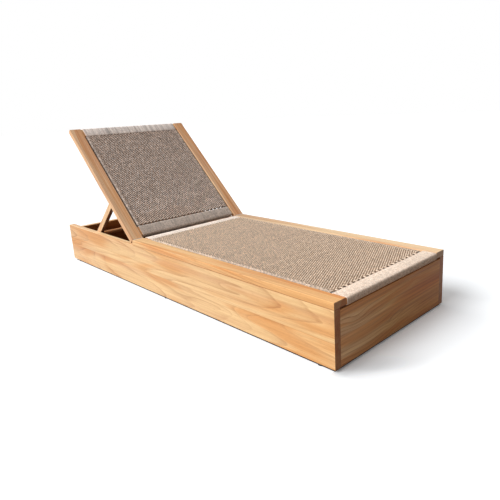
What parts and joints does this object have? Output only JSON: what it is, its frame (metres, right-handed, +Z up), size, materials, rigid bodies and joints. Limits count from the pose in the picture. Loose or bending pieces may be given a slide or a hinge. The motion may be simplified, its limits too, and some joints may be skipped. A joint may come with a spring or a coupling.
{
  "type": "sun lounger",
  "caption": "Low timber sun lounger with a box base, a rope-woven seat and a rope-woven backrest that reclines on a swinging prop over notched racks.",
  "frame": {"origin": "on the floor under the middle of the whole length and width", "axes": "+X to the foot end, +Y to the left of someone lying on it, +Z up"},
  "size_m": [2.004, 0.706, 0.7638],
  "materials": {
    "teak": "oiled teak with a fine straight to cathedral grain, sanded smooth with eased edges",
    "teak_inner": "unoiled teak, sawn and lightly sanded",
    "rope": "braided outdoor rope in a mottled beige and taupe",
    "steel": "satin stainless steel",
    "tube_alloy": "plain extruded aluminium",
    "glide_nylon": "black moulded nylon"
  },
  "bodies": {
    "base": {"side_board_left": "teak", "side_board_right": "teak", "foot_board": "teak", "head_board": "teak", "corner_block_foot_left": "teak_inner", "corner_block_foot_right": "teak_inner", "corner_block_head_left": "teak_inner", "corner_block_head_right": "teak_inner", "base_braces": "teak_inner", "glides": "glide_nylon", "seat_ledger_left": "teak_inner", "seat_ledger_right": "teak_inner", "seat_bearers": "teak_inner", "seat_rail_left": "teak", "seat_rail_right": "teak", "seat_foot_rail": "teak", "seat_hinge_rail": "teak", "seat_tube_left": "tube_alloy", "seat_tube_right": "tube_alloy", "seat_weave": "rope", "seat_foot_wrap": "rope", "seat_hinge_wrap": "rope", "rack_spacer_left": "teak_inner", "rack_spacer_right": "teak_inner", "rack_left": "teak_inner", "rack_right": "teak_inner", "seat_leaf_left": "steel", "seat_leaf_right": "steel", "hinge_pins": "steel"},
    "backrest": {"back_stile_left": "teak", "back_stile_right": "teak", "back_top_rail": "teak", "back_bottom_rail": "teak", "back_tube_left": "tube_alloy", "back_tube_right": "tube_alloy", "back_weave": "rope", "back_top_wrap": "rope", "back_bottom_wrap": "rope", "back_leaf_left": "steel", "back_leaf_right": "steel", "prop_bracket_left": "steel", "prop_bracket_right": "steel", "prop_bolts": "steel"},
    "prop": {"prop_arm_left": "teak", "prop_arm_right": "teak", "prop_crossbar": "teak"}
  },
  "joints": [
    {"name": "back_recline", "type": "hinge", "parent": "base", "child": "backrest", "pos_m": [-0.246, 0, 0.237], "axis": [0, 1, 0], "range_deg": [-44, 16]},
    {"name": "prop_swing", "type": "hinge", "parent": "backrest", "child": "prop", "pos_m": [-0.47555, 0, 0.40237], "axis": [0, 1, 0], "range_deg": [-31.6, 86.5]}
  ],
  "couplings": [
    {"joint": "prop_swing", "follows": "back_recline", "ratio": -1.9634}
  ]
}
